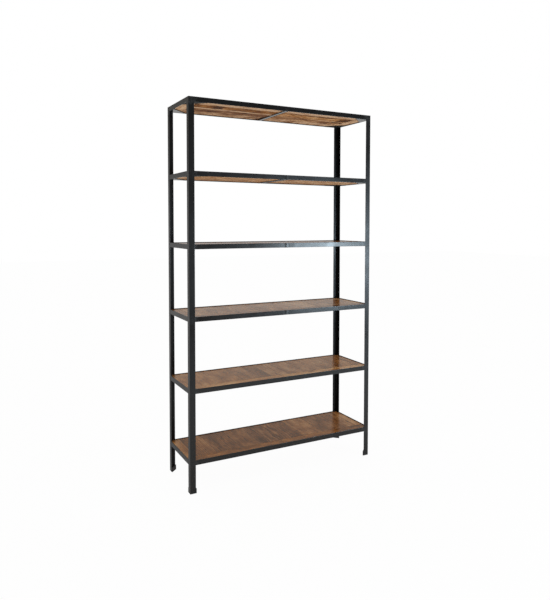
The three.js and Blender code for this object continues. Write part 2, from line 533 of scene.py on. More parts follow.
def paint_material(name, black, dusty, roughness, gloss=0.5):
    material, net, here, dust, edge_highlight, rough = start_material(name, 160 * MM, 0.55, roughness)
    weld = net.group(DRESSED_WELD, Vector=here, Zone=net.mark("dressed"))
    peel = net.group(ORANGE_PEEL, Vector=here, Size=4.5 * MM)["Height"]
    colour = net.blend(net.times(dust, 0.5), black, dusty)
    # Painted highlight: edges are a little paler.
    colour = net.blend(net.times(edge_highlight, 0.30), colour, PAINT_EDGE_HIGHLIGHT)
    colour = net.blend(net.times(weld["Mottle"], 0.6), colour, GROUND_WELD)
    for value, share in ((dust, 0.12), (weld["Mottle"], 0.14), (net.mark("inside"), 0.26)):
        rough = net.times_plus(value, share, rough)
    height = net.times_plus(weld["Height"], 1.6, net.times(peel, 0.5))
    net.surface(colour, rough, 1.5, gloss, height, 0.07 * MM, 0.7)
    return material


POST_DUST = (0.0070, 0.0071, 0.0073, 1)
TRAY_DUST = (0.0080, 0.0081, 0.0083, 1)
SHADED_INNER_DUST = (0.0050, 0.0051, 0.0053, 1)
SHADED_INNER_NAME = "black paint with painted shade inside the sections"
POST_PAINT = paint_material("satin black paint on posts", SATIN_BLACK, POST_DUST, (0.20, 0.31))
TRAY_PAINT = paint_material("satin black paint on trays", SATIN_BLACK, TRAY_DUST, (0.16, 0.25))
# Painted shade: the darker, half-gloss copy for faces inside the angles and under the rails.
SHADED_INNER_PAINT = paint_material(SHADED_INNER_NAME, SHADED_BLACK, SHADED_INNER_DUST, (0.00, 0.08), gloss=0.24)
print("paints:", POST_PAINT.name, "/", TRAY_PAINT.name, "/", SHADED_INNER_PAINT.name)

# %% [markdown]
# ## Lacquered and bare wood
#
# The upper face of each board is lacquered: a warm brown seen through a clear, satin film that
# mirrors the white room at a low angle, so the far shelves look paler than the near ones. The
# underside never got lacquer. It is drier and rougher, its staves differ more, and its colour is
# made paler: partly as bare wood, and partly as painted light from the bright floor below.
#
# Both materials share the grain and the stave colours, so the two faces of a board are clearly
# one wood.


# %% Wood materials
WOOD_EDGE_HIGHLIGHT = (0.50, 0.33, 0.19, 1)
GROOVE_BROWN = (0.018, 0.009, 0.004, 1)


def wood_material(name, looks, roughness, gloss, bump, pitch, blotch):
    """The looks are contrast, patchiness, darkness of the seams, and brightness."""
    material, net, here, dust, edge_highlight, rough = start_material(name, 200 * MM, 1.3, roughness)
    contrast, patchiness, seam_dark, brightness = looks
    stave = net.put("Attribute", {"attribute_name": "stave"}).outputs["Color"]
    tone, warmth, seed = net.put("SeparateColor", None, Color=stave).outputs[:3]
    turns = {"Across": net.mark("grain_across"), "Seed": seed}
    grain = net.group(WOOD_GRAIN, Vector=here, **turns, Ring_Pitch=pitch, Blotch_Width=blotch)
    drawn = {name: grain[name] for name in GRAIN}
    look = {"Tone": tone, "Warmth": warmth, "Contrast": contrast, "Patchiness": patchiness}
    colour = net.group(STAVE_COLOUR, **look, **drawn)["Color"]
    colour = net.put("VectorMath", {"operation": "MULTIPLY"}, i0=colour, i1=brightness).outputs[0]
    # Painted highlight: the arris is paler where its rounding would catch the light.
    colour = net.blend(net.times(edge_highlight, 0.6), colour, WOOD_EDGE_HIGHLIGHT)
    # The whole bottom of a groove is dark, not only its deepest line.
    colour = net.blend(net.remap(net.mark("seam"), 0, 0.4, 0, seam_dark), colour, GROOVE_BROWN)
    rough = net.times_plus(grain["Pores"], 0.22, rough)
    net.surface(colour, rough, 1.45, gloss, grain["Height"], 0.35 * MM, bump)
    return material


LACQUERED_LOOKS = (0.70, 1.25, 0.92, (1, 1, 1))
# The underside's brightness of about 1.45 is partly bare wood and partly painted light from the floor
# below.
BARE_LOOKS = (1.30, 2.00, 0.85, (1.42, 1.46, 1.56))
LACQUERED = wood_material("lacquered wood", LACQUERED_LOOKS, (0.13, 0.20), 0.36, 0.22, 11 * MM, 60 * MM)
BARE = wood_material("bare wood underside", BARE_LOOKS, (0.62, 0.78), 0.12, 0.5, 9 * MM, 34 * MM)
print("woods:", LACQUERED.name, "/", BARE.name)

# %% [markdown]
# ## Moulded plastic
#
# Each post stands in a moulded black plastic shoe. Moulded plastic is matt, with a fine even
# texture and soft dust. Paler patches all over it are painted highlight specks.

# %% Plastic material
PLASTIC_BLACK = (0.0055, 0.0055, 0.0060, 1)
PLASTIC_DUST = (0.022, 0.021, 0.020, 1)
PLASTIC_HIGHLIGHT = (0.020, 0.020, 0.020, 1)

PLASTIC, net, here, dust, edge_highlight, rough = start_material("moulded black plastic", 30 * MM, 0.9, (0.48, 0.62))
# Paler patches are painted highlight specks.
colour = net.blend(edge_highlight, net.blend(dust, PLASTIC_BLACK, PLASTIC_DUST), PLASTIC_HIGHLIGHT)
texture = net.group(ORANGE_PEEL, Vector=here, Size=1.2 * MM)["Height"]
net.surface(colour, rough, 1.46, 0.5, texture, 0.08 * MM, 0.8)
print("plastic:", PLASTIC.name)

# %% [markdown]
# ## Sections of hot-rolled steel
#
# Steel angle is rolled through shaped rollers. That leaves a nearly sharp heel outside, a round
# fillet in the inner corner, and round toes at the ends of both legs. Flat bar comes out with
# four slightly rounded edges. A box would lose all of this, so each section is drawn as an
# outline, and the outline is run along the length.
#
# The outline also says which of its points lie on an edge, for the painted edge highlight, and which
# lie inside, where the paint is rougher and a darker, duller copy of it paints shade.


# %% Draw the sections
GUARD = 1.3 * MM  # a line this far from an edge keeps the painted edge highlight and the rounding there


def quarter(u, v, radius, start, steps, edge=1, inside=0, turn=90):
    """A quarter turn about a centre, as points (u, v, edge, inside). Angles are in degrees."""
    points = []
    for k in range(steps + 1):
        a = math.radians(start + turn * k / steps)
        points.append((u + radius * math.cos(a), v + radius * math.sin(a), edge, inside))
    return points


def angle_outline(leg, wall, heel, toe, corner, root):
    """Outline of an angle with its heel at the origin."""
    inner = wall + root
    tip = leg - corner
    return [
        *quarter(heel, heel, heel, 180, 2),
        (heel + GUARD, 0, 0, 0),
        (tip - GUARD, 0, 0, 0),
        *quarter(tip, corner, corner, 270, 2),
        *quarter(leg - toe, wall - toe, toe, 0, 4, 0.6, 0.5),
        (leg - toe - GUARD, wall, 0, 1),
        *quarter(inner, inner, root, 270, 5, 0, 1, turn=-90),
        (wall, leg - toe - GUARD, 0, 1),
        *quarter(wall - toe, leg - toe, toe, 0, 4, 0.6, 0.5),
        *quarter(corner, tip, corner, 90, 2),
        (0, tip - GUARD, 0, 0),
        (0, heel + GUARD, 0, 0),
    ]


def bar_outline(wall, height, corner):
    """Outline of a flat bar on edge, with its outer face at u = 0."""
    return [
        *quarter(corner, corner, corner, 180, 2),
        *quarter(wall - corner, corner, corner, 270, 2),
        (wall, GUARD, 0, 1),
        (wall, height - GUARD, 0, 1),
        *quarter(wall - corner, height - corner, corner, 0, 2),
        *quarter(corner, height - corner, corner, 90, 2),
        (0, height - GUARD, 0, 0),
        (0, GUARD, 0, 0),
    ]


def shrink(outline, amount):
    """The outline moved inwards by an amount, for the small chamfer at a sawn end."""
    moved = []
    for k, (u, v, edge, inside) in enumerate(outline):
        before, after = outline[k - 1], outline[(k + 1) % len(outline)]
        du, dv = after[0] - before[0], after[1] - before[1]
        length = math.hypot(du, dv)
        moved.append((u - amount * dv / length, v + amount * du / length, edge, inside))
    return moved


RAIL_HEIGHT, RAIL_WALL = 25 * MM, 3 * MM
POST_HEEL, POST_TOE, POST_CORNER, POST_ROOT = 0.6 * MM, 1.5 * MM, 0.35 * MM, 3.0 * MM
POST_OUTLINE = angle_outline(30 * MM, 3 * MM, POST_HEEL, POST_TOE, POST_CORNER, POST_ROOT)
RAIL_OUTLINE = bar_outline(RAIL_WALL, RAIL_HEIGHT, corner=0.45 * MM)
print("section points:", len(POST_OUTLINE), len(RAIL_OUTLINE))


# %% Make a piece
def dress(name, mesh, body, slot, materials, smooth):
    """Puts a finished mesh in the scene, smooth up to an angle in degrees, riding on a body."""
    for material in materials:
        mesh.materials.append(material)
    mesh.polygons.foreach_set("use_smooth", [True] * len(mesh.polygons))
    mesh.set_sharp_from_angle(angle=math.radians(smooth))
    piece = add_object(name, mesh)
    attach(piece, body)
    return piece


def make_piece(name, vertices, faces, body, slot, materials, smooth=35):
    """A piece from vertices and faces, with its faces turned outwards."""
    mesh = bpy.data.meshes.new(name)
    mesh.from_pydata(vertices, [], faces)
    bm = bmesh.new()
    bm.from_mesh(mesh)
    bmesh.ops.recalc_face_normals(bm, faces=bm.faces)
    bm.to_mesh(mesh)
    bm.free()
    return dress(name, mesh, body, slot, materials, smooth)


def set_points(piece, name, values):
    """Writes one number for each vertex, for the materials to read."""
    count = len(piece.data.vertices)
    values = values if isinstance(values, list) else [values] * count
    piece.data.attributes.new(name, "FLOAT", "POINT").data.foreach_set("value", values)


def from_heel(name):
    """Places points by their distances inwards from a node's outer corner, seen from above."""
    low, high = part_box(name)
    x, side = (low.x, -1) if "left" in name else (high.x, 1)
    y, end = (low.y, -1) if "front" in name else (high.y, 1)
    return lambda u, v, z: (x - side * u, y - end * v, z)


# %% Run a section along its length
SAW_CHAMFER = 0.4 * MM
HIDDEN = 0.7  # share of a weld's dressing that doesn't reach inside


def run_section(outline, stations, place):
    """Vertices, faces and marks of an outline that runs through stations.

    A station is (distance, inset, dressed): how far along, how much the outline shrinks, and
    how strongly a weld was dressed there."""
    count = len(outline)
    vertices, marks = [], {"edge": [], "inside": [], "dressed": []}
    for distance, inset, dressed in stations:
        for u, v, edge, inside in shrink(outline, inset) if inset else outline:
            vertices.append(place(distance, u, v))
            marks["edge"].append(1.0 if inset else float(edge))
            marks["inside"].append(float(inside))
            marks["dressed"].append(dressed * (1 - HIDDEN * inside))
    faces = []
    for row in range(len(stations) - 1):
        for k in range(count):
            a, b = row * count + k, row * count + (k + 1) % count
            faces.append((a, b, b + count, a + count))
    faces.append(tuple(range(count)))
    faces.append(tuple(range((len(stations) - 1) * count, len(stations) * count)))
    return vertices, faces, marks


def build_section(name, node, slot, paint, outline, stations, place, under=False):
    """A steel section in a node's place, with painted shade inside, and underneath if asked."""
    vertices, faces, marks = run_section(outline, stations, place)
    piece = make_piece(name, vertices, faces, "frame", slot, [paint, SHADED_INNER_PAINT])
    for mark, values in marks.items():
        set_points(piece, mark, values)
    for polygon in piece.data.polygons:
        k = polygon.index % len(outline)
        first, second = outline[k], outline[(k + 1) % len(outline)]
        inner = min(first[3], second[3]) >= 0.5
        lower = under and max(first[1], second[1]) < 0.2 * MM
        if len(polygon.vertices) == 4 and (inner or lower):
            polygon.material_index = 1
    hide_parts(node)
    return piece


print("ready to run sections")

# %% [markdown]
# ## Posts
#
# A post is one length of 30 mm angle, heel outwards. At each tray the rails were welded to it
# and the weld was ground flush, so there the surface is slightly mottled. The mesh has extra
# stations around every tray to carry that mark, which is strongest at the top tray.

# %% Build the posts
CORNERS = ("front_left", "front_right", "back_left", "back_right")
TRAY_TOPS = {number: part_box(f"shelf_{number}_rail_front")[1].z for number in range(1, 7)}
print("tray tops:", {number: round(z, 3) for number, z in TRAY_TOPS.items()})

# How strongly a post is dressed around a tray, as (height over the tray's top in mm, strength).
POST_WELD = ((-44, 0), (-33, 0.75), (-26, 0.9), (-12, 0.75), (-1, 0.8), (4, 0.5), (14, 0))
LOWER_WELDS = 0.4  # strength at the lower trays, against the top one
FOOT_RUB = 12 * MM  # the lower end is rubbed this far up


def post_stations(bottom, top):
    stations = [(bottom, SAW_CHAMFER, 0.3), (bottom + SAW_CHAMFER, 0, 0.3), (bottom + FOOT_RUB, 0, 0)]
    for z in TRAY_TOPS.values():
        share = 1 if z == max(TRAY_TOPS.values()) else LOWER_WELDS
        for offset, dressed in POST_WELD:
            if z + offset * MM < top - SAW_CHAMFER - 0.5 * MM:
                stations.append((z + offset * MM, 0, share * dressed))
    return stations + [(top - SAW_CHAMFER, 0, 0.8), (top, SAW_CHAMFER, 0.8)]


def build_post(corner):
    node = f"post_{corner}"
    low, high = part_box(node)
    at = from_heel(node)

    def place(distance, u, v):
        return at(u, v, distance)

    piece = ("steel_" + node, node, "painted_steel_posts", POST_PAINT)
    return build_section(*piece, POST_OUTLINE, post_stations(low.z, high.z), place)


for corner in CORNERS:
    post = build_post(corner)
    print(post.name, len(post.data.polygons), "faces")

# %% [markdown]
# ## Rails
#
# The rails of a tray are 25 x 3 mm flat bar, set on edge and butted between the posts. Long thin
# steel never stays perfectly straight when a bar is welded across its middle: each half twists
# by up to about a degree, the weld draws in a shallow dish, and its print stays in the outer
# face. A mirror-like black paint shows this as a change of tone at mid-span, so the twist, the
# dish and the print are built into the mesh.

# %% Lay out the rails
TRAY_SLOT = "painted_steel_trays"
WELD_PRINT = 3.2 * MM  # half the width of the weld's print, which stands proud in the dish
DISH_DEEP, DISH_WIDE = 0.34 * MM, 26 * MM
TWIST_RUN = 60 * MM  # the twist dies out over this length at a post
END_WELD, END_WELD_FADE = 9 * MM, 20 * MM  # the weld at a post is dressed this far, and fades
SPANS = 12  # even parts of a long rail
HALF_TWIST = {  # degrees for the left and right half of each front rail; plus leans back
    1: (0.2, -0.2),
    2: (-0.2, 0.2),
    3: (0.5, 1.2),
    4: (0.9, -0.9),
    5: (-1.3, -1.2),
    6: (0.0, 0.2),
}
BACK_TWIST = (0.2, -0.2)


def bend(s, half, twist, v):
    """How far a long rail is drawn in, at a place along it and a height of its section."""
    if s == 0:
        return 0.0
    degrees = twist[0 if s < 0 else 1] * min(1.0, (half - abs(s)) / TWIST_RUN)
    rise = math.tan(math.radians(abs(degrees)))
    dish = DISH_DEEP * max(0.0, 1.0 - (abs(s) - WELD_PRINT) / DISH_WIDE)
    return (rise * v if degrees > 0 else rise * (RAIL_HEIGHT - v)) + dish


def rail_stations(half, middle):
    """Stations of a rail: a sawn chamfer and a dressed weld at each end, and some between."""
    marks = [(-half, SAW_CHAMFER, 0.9), (-half + SAW_CHAMFER, 0, 0.9)]
    marks += [(-half + END_WELD, 0, 0.6), (-half + END_WELD_FADE, 0, 0), *middle]
    return marks + [(-s, inset, dressed) for s, inset, dressed in reversed(marks) if s]


# %% Build the rails
def build_rail(number, where):
    """Front and back rails run along X and bend. Side rails run along Y and stay straight."""
    node = f"shelf_{number}_rail_{where}"
    low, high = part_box(node)
    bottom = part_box(f"shelf_{number}_rail_front")[0].z
    out = -1 if where in ("front", "left") else 1
    if where in ("front", "back"):
        face = low.y if out < 0 else high.y
        half = (high.x - low.x) / 2
        twist = HALF_TWIST[number] if out < 0 else BACK_TWIST
        middle = [(-half + 2 * half * k / SPANS, 0, 0) for k in range(1, SPANS // 2)]
        middle += [(-30 * MM, 0, 0), (-14 * MM, 0, 0), (-WELD_PRINT, 0, 0.4), (0, 0, 0.4)]
    else:
        face = low.x if out < 0 else high.x
        half = (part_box("post_back_left")[0].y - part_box("post_front_left")[1].y) / 2
        twist = None
        middle = [(-half / 3, 0, 0)]

    def place(s, u, v):
        if twist:
            return (s, face - out * (u + bend(s, half, twist, v)), bottom + v)
        return (face - out * u, s, bottom + v)

    piece = (f"shelf_{number}_steel_rail_{where}", node, TRAY_SLOT, TRAY_PAINT)
    return build_section(*piece, RAIL_OUTLINE, rail_stations(half, middle), place, under=True)


for number in TRAY_TOPS:
    rails = [build_rail(number, where) for where in ("front", "back", "left", "right")]
    print("shelf", number, [r.name for r in rails], len(rails[0].data.polygons), "faces in front")

# %% [markdown]
# ## Corner plates and cross bars
#
# In each corner of a tray a cut triangle of 4 mm plate ties two rails and the post together. It
# is welded in flush with the rails' lower edges, and the board's corner rests on it. A flat bar
# crosses the tray at mid-span at the same level and carries the inner ends of both boards.
# Sheared plate has a slightly rounded edge and so has a rolled bar, so both get a small bevel
# all round. A spray gun reaches two of the corners badly, and the paint there dries dull.


# %% Bevelled plate helper
HIGHLIGHT_RING = 2.2  # how far inside the ring lies, in bevels


def bevel_edges(bm, edges, width):
    shape = {"segments": 2, "profile": 0.5, "affect": "EDGES", "clamp_overlap": True}
    bmesh.ops.bevel(bm, geom=edges, offset=width, **shape)


def slab(name, outline, bottom, thickness, bevel, dull):
    """A flat piece of steel cut to an outline, with all its edges bevelled."""
    bm = bmesh.new()
    ring = [bm.verts.new((x, y, bottom)) for x, y in outline]
    base = bm.faces.new(ring)
    lifted = bmesh.ops.extrude_face_region(bm, geom=[base])
    tops = [v for v in lifted["geom"] if isinstance(v, bmesh.types.BMVert)]
    bmesh.ops.translate(bm, vec=(0, 0, thickness), verts=tops)
    bmesh.ops.recalc_face_normals(bm, faces=bm.faces)
    bevel_edges(bm, list(bm.edges), bevel)
    # A second ring just inside each face larger than the bevels keeps the painted edge highlight at the
    # edge.
    flats = [f for f in bm.faces if f.calc_area() > 20 * bevel * bevel and len(f.verts) > 3]
    bmesh.ops.inset_individual(bm, faces=flats, thickness=HIGHLIGHT_RING * bevel, use_even_offset=True)
    edge = bm.verts.layers.float.new("edge")
    inner = {v for f in flats for v in f.verts}
    for v in bm.verts:
        v[edge] = 0.0 if v in inner else 1.0
    mesh = bpy.data.meshes.new(name)
    bm.to_mesh(mesh)
    bm.free()
    piece = dress(name, mesh, "frame", TRAY_SLOT, [TRAY_PAINT], smooth=50)
    set_points(piece, "inside", dull)
    return piece


PLATE_LEG, PLATE_SNIP, PLATE_THICK = 100 * MM, 6 * MM, 4 * MM
PLATE_BEVEL, BAR_BEVEL = 0.45 * MM, 0.8 * MM
# How dull the paint is: above 0 it was sprayed dry, and below 0 wet, so it is smoother.
DULL = {"front_left": 1.6, "back_right": 1.6}
BAR_DULL = -0.5

near, far = RAIL_WALL, RAIL_WALL + PLATE_LEG
PLATE_OUTLINE = [(near + PLATE_SNIP, near), (far, near), (near, far), (near, near + PLATE_SNIP)]
for number in TRAY_TOPS:
    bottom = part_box(f"shelf_{number}_rail_left")[0].z
    for corner in CORNERS:
        at = from_heel(f"post_{corner}")
        outline = [at(u, v, 0)[:2] for u, v in PLATE_OUTLINE]
        name = f"shelf_{number}_corner_plate_{corner}"
        slab(name, outline, bottom, PLATE_THICK, PLATE_BEVEL, DULL.get(corner, 0.0))
    low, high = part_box(f"shelf_{number}_cross_bar")
    outline = [(low.x, low.y), (high.x, low.y), (high.x, high.y), (low.x, high.y)]
    bar = slab(f"shelf_{number}_flat_bar", outline, low.z, high.z - low.z, BAR_BEVEL, BAR_DULL)
    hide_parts(f"shelf_{number}_cross_bar")
print("plates and bars:", 5 * len(TRAY_TOPS))

# %% [markdown]
# ## Weld beads
#
# The frame is welded from below, where nobody looks first: plates to posts and rails, cross bars
# to rails, and a small tack in each notch between a rail and a post. A bead is a short round
# ridge with ripples, one for each pulse of the weld pool. It could be a bump in the paint, but
# it stands proud of the steel, so it is real geometry, sunk more than halfway in.


# %% Weld bead helper
RIPPLE_PITCH = 2.3 * MM
RING_PITCH = 0.7 * MM
BEAD_SIDES = 8
SWELL, UNEVEN = 0.09, 0.05  # how much the ripples and chance change a bead's radius
MOST_SWELL = 1.12  # no ripple passes this, so a bead keeps inside its radius


def add_bead(vertices, faces, start, stop, radius, chance):
    """Adds a closed, rippled bead from start to stop. It doesn't reach past either end."""
    start, stop = Vector(start), Vector(stop)
    axis = stop - start
    length = axis.length
    axis.normalize()
    side = axis.orthogonal().normalized()
    up = axis.cross(side)
    rings = max(5, round(length / RING_PITCH))
    phase = chance.random() * math.tau
    first = len(vertices)
    vertices.append(tuple(start))
    for k in range(1, rings):
        s = length * k / rings
        near_end = min(s, length - s) / min(radius, length / 2)
        taper = math.sqrt(max(0.0, 1 - (1 - min(1.0, near_end)) ** 2))
        ripple = SWELL * math.sin(math.tau * s / RIPPLE_PITCH + phase)
        swell = 1 + ripple + UNEVEN * (chance.random() - 0.5)
        r = radius * taper * swell / MOST_SWELL
        for j in range(BEAD_SIDES):
            a = math.tau * j / BEAD_SIDES
            vertices.append(tuple(start + axis * s + side * (r * math.cos(a)) + up * (r * math.sin(a))))
    vertices.append(tuple(stop))
    last = len(vertices) - 1
    for j in range(BEAD_SIDES):
        a, b = first + 1 + j, first + 1 + (j + 1) % BEAD_SIDES
        faces.append((first, b, a))
        for k in range(rings - 2):
            offset = k * BEAD_SIDES
            faces.append((a + offset, b + offset, b + offset + BEAD_SIDES, a + offset + BEAD_SIDES))
        offset = (rings - 2) * BEAD_SIDES
        faces.append((a + offset, b + offset, last))


UNDER_LIFT = 0.6  # height of a bead's middle over the lower edge of the rails, in millimetres


def corner_beads(tray_top, is_top):
    """Beads of one corner as (start, stop, height, radius), in millimetres from the heel.

    Each of these lies along one rail, and is followed by its twin along the other."""
    under = tray_top - RAIL_HEIGHT / MM + UNDER_LIFT
    yield (10, 3.2), (29, 3.2), under, 1.1
    yield (58, 3.2), (74, 3.2), under, 1.1
    yield (30.1, 0.4), (30.1, 2.9), under, 1.0
    if not is_top:
        yield (30.1, 0.2), (30.1, 2.9), tray_top, 1.2


# %% Weld every tray
for number, top in TRAY_TOPS.items():
    chance = random.Random(100 + number)
    vertices, faces = [], []
    for corner in CORNERS:
        at = from_heel(f"post_{corner}")
        for start, stop, z, radius in corner_beads(top / MM, number == max(TRAY_TOPS)):
            for turn in (1, -1):
                ends = [at(*(c * MM for c in (*spot[::turn], z))) for spot in (start, stop)]
                add_bead(vertices, faces, *ends, radius * MM, chance)
    low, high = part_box(f"shelf_{number}_cross_bar")
    for y in (low.y, high.y):
        z = low.z + UNDER_LIFT * MM
        add_bead(vertices, faces, (low.x + 1.5 * MM, y, z), (high.x - 1.5 * MM, y, z), 1.1 * MM, chance)
    name = f"shelf_{number}_weld_beads"
    beads = make_piece(name, vertices, faces, "frame", TRAY_SLOT, [TRAY_PAINT], smooth=80)
    # A faint painted highlight in patches over the beads.
    set_points(beads, "edge", 0.15)
    set_points(beads, "dressed", 0.5)
    print(beads.name, len(faces), "faces")

# %% [markdown]
# ## Boards
#
# Each tray holds two boards, end to end, 18 mm thick. The upper face is laid with short planks
# that run from front to back, with one long strip along the front edge. The underside shows
# long staves that run the length of the board, and a pale strip across its outer end. All of it
# is glued, so a board is one solid, with a fine groove along every joint and a rounded arris.
#
# The faces are grids. Grid lines fall on every joint, so the groove is geometry, and each cell
# knows which plank it belongs to: its tone, its warmth, a seed of its own, and whether its grain
# runs along the board or across it.

# %% Choose planks and staves
FRONT_STRIP = 62  # width of the long strip along the front, in millimetres

# Planks of the upper faces, as (left end in mm from the bookcase's left side, tone, warmth).
TOP_PLANKS = {
    1: [
        (0, 0.58, 0.68), (52, 0.49, 0.56), (175, 0.40, 0.45), (310, 0.44, 0.41), (420, 0.41, 0.19),
        (550, 0.44, 0.30), (690, 0.57, 0.45), (825, 0.47, 0.22), (960, 0.53, 0.34), (1052, 0.63, 0.56),
    ],
    2: [
        (0, 0.62, 0.85), (50, 0.64, 0.75), (180, 0.58, 0.70), (320, 0.59, 0.40), (428, 0.43, 0.50),
        (495, 0.65, 0.35), (550, 0.63, 0.35), (600, 0.61, 0.35), (705, 0.60, 0.40), (880, 0.60, 0.30),
        (960, 0.61, 0.60), (1050, 0.61, 0.50),
    ],
    3: [
        (0, 0.52, 0.60), (50, 0.71, 0.50), (170, 0.62, 0.40), (300, 0.65, 0.45), (430, 0.61, 0.35),
        (550, 0.68, 0.40), (680, 0.85, 0.45), (796, 0.64, 0.35), (915, 0.62, 0.45), (1052, 0.80, 0.50),
    ],
    4: [
        (0, 0.52, 0.60), (50, 0.50, 0.50), (195, 0.54, 0.45), (330, 0.46, 0.40), (450, 0.52, 0.50),
        (550, 0.48, 0.40), (665, 0.55, 0.55), (790, 0.47, 0.40), (940, 0.52, 0.50), (1050, 0.50, 0.55),
    ],
    5: [
        (0, 0.54, 0.70), (50, 0.46, 0.45), (160, 0.53, 0.60), (305, 0.49, 0.40), (415, 0.56, 0.55),
        (550, 0.45, 0.35), (700, 0.51, 0.50), (830, 0.56, 0.60), (935, 0.48, 0.40), (1050, 0.52, 0.60),
    ],
    6: [
        (0, 0.53, 0.70), (50, 0.51, 0.55), (185, 0.45, 0.40), (290, 0.55, 0.60), (425, 0.49, 0.45),
        (550, 0.53, 0.50), (655, 0.46, 0.35), (800, 0.54, 0.60), (925, 0.50, 0.45), (1050, 0.52, 0.60),
    ],
}
STRIP_LOOKS = {
    1: (0.46, 1.00), 2: (0.81, 1.00), 3: (0.42, 0.80), 4: (0.54, 0.60), 5: (0.52, 0.70), 6: (0.52, 0.70),
}

# Staves of the undersides, as (front edge in mm from the bookcase's front, tone, warmth).
UNDER_STAVES = {
    "6_left": [
        (4, 1.00, 0.15), (74, 0.42, 1.00), (150, 1.04, 0.10), (178, 0.43, 0.15), (252, 0.72, 0.10),
        (312, 0.84, 0.15),
    ],
    "6_right": [
        (4, 0.98, 0.15), (74, 0.44, 1.00), (102, 0.72, 0.85), (168, 0.84, 0.40), (192, 0.46, 0.60),
        (218, 0.70, 0.40), (270, 0.92, 0.15),
    ],
    "5_left": [
        (4, 0.78, 0.50), (60, 0.84, 0.60), (150, 0.80, 0.60), (215, 0.70, 0.50), (290, 0.60, 0.50),
    ],
    "5_right": [
        (4, 0.84, 0.40), (52, 0.86, 0.40), (140, 0.96, 0.30), (205, 0.80, 0.40), (285, 0.58, 0.40),
    ],
}
# The lower shelves get staves by chance.
FIRST_STAVE, LAST_STAVE = 4, 300
STAVE_WIDTHS, STAVE_TONES, STAVE_WARMTHS = (48, 92), (0.38, 0.80), (0.3, 0.9)
for number in (1, 2, 3, 4):
    for hand in ("left", "right"):
        chance = random.Random(500 + 10 * number + len(hand))
        y, staves = FIRST_STAVE, []
        while y < LAST_STAVE:
            staves.append((y, chance.uniform(*STAVE_TONES), chance.uniform(*STAVE_WARMTHS)))
            y += chance.randint(*STAVE_WIDTHS)
        UNDER_STAVES[f"{number}_{hand}"] = staves

# Some staves of the top shelf are darker over a stretch, as (stave, from, to, tone, warmth),
# with the stave's front edge and then distances from the bookcase's left side.
DARKER_STRETCHES = {
    "6_left": [
        (74, 178, 234, 0.20, 1.00), (74, 340, 410, 0.44, 1.00), (178, 440, 510, 0.34, 0.30),
        (312, 514, 546, 0.02, 0.30), (252, 524, 546, 0.06, 0.30),
    ],
    "6_right": [
        (74, 975, 1034, 0.24, 1.00), (102, 962, 1034, 0.26, 1.00), (102, 650, 710, 0.58, 0.90),
        (192, 960, 1034, 0.34, 1.00), (218, 895, 960, 0.38, 1.00), (270, 715, 760, 0.50, 0.30),
    ],
}
UNDER_END = 66  # width of the pale strip across each outer end
UNDER_END_LOOK = (0.98, 0.15)
print("planks on top:", sum(len(p) for p in TOP_PLANKS.values()))


# %% Lay out the lines of a face
ARRIS, FINE_ARRIS = 1.5 * MM, 0.6 * MM  # rounding outside, and where two boards meet
ARRIS_STEPS = ((0.0, 1.0), (0.134, 0.5), (0.5, 0.134), (1.0, 0.0))  # (share of the way in, drop)
ARRIS_GUARD = 1.2 * MM
GROOVE_WIDE, GROOVE_DEEP, GROOVE_GUARD = 1.1 * MM, 0.30 * MM, 0.6 * MM


def grid_lines(low, high, round_low, round_high, seams):
    """Grid lines from low to high as (place, drop at a rounded end, groove, edge mark)."""
    lines = [(low + round_low + ARRIS_GUARD, 0, 0, 0), (high - round_high - ARRIS_GUARD, 0, 0, 0)]
    for share, drop in ARRIS_STEPS:
        mark = 1 if share < 1 else 0.4
        lines.append((low + share * round_low, drop * round_low, 0, mark))
        lines.append((high - share * round_high, drop * round_high, 0, mark))
    for s in seams:
        # A second line on each side keeps the planks themselves flat under smooth shading.
        for reach in (GROOVE_WIDE, GROOVE_WIDE + GROOVE_GUARD):
            lines += [(s - reach, 0, 0, 0), (s + reach, 0, 0, 0)]
        lines.append((s, 0, 1, 0))
    return sorted(lines)


def pick(table, place):
    """The last row of a table that starts before a place."""
    return [row for row in table if row[0] <= place][-1]


# %% Build a board
class Board:
    """The mesh of a board while it grows."""

    def __init__(self):
        self.vertices, self.edges, self.seams = [], [], []
        self.faces, self.looks, self.kinds = [], [], []

    def add_face(self, corners, look, kind):
        self.faces.append(tuple(corners))
        self.looks.append(look)
        self.kinds.append(kind)

    def add_grid(self, xs, ys, height, sign, cell, grooved):
        """Adds one face of the board. Returns the numbers of its four border rows."""
        first, wide, tall = len(self.vertices), len(xs), len(ys)
        for y, drop_y, groove_y, edge_y in ys:
            for x, drop_x, groove_x, edge_x in xs:
                sunk = GROOVE_DEEP if grooved(x, y, groove_x, groove_y) else 0.0
                self.vertices.append((x, y, height - sign * (drop_x + drop_y + sunk)))
                self.edges.append(float(max(edge_x, edge_y)))
                self.seams.append(1.0 if sunk else 0.0)
        for j in range(tall - 1):
            for i in range(wide - 1):
                a = first + j * wide + i
                look = cell((xs[i][0] + xs[i + 1][0]) / 2, (ys[j][0] + ys[j + 1][0]) / 2)
                self.add_face((a, a + 1, a + 1 + wide, a + wide), look, 0 if sign > 0 else 1)
        last = first + (tall - 1) * wide
        sides = [range(first, last + 1, wide), range(first + wide - 1, last + wide, wide)]
        return [range(first, first + wide), range(last, last + wide), *sides]


# Tone, warmth, seed and turn of the grain on the front, back, left and right side of a board.
SIDE_LOOKS = [
    (0.50, 0.7, 0.11, 0.0), (0.50, 0.6, 0.37, 0.0), (0.44, 0.5, 0.53, 1.0), (0.44, 0.5, 0.71, 1.0),
]
RIM = 1 * MM  # grooves stop this far from the outer edges
SEAM_CLEAR = 10 * MM  # no seam lies nearer to a board's end


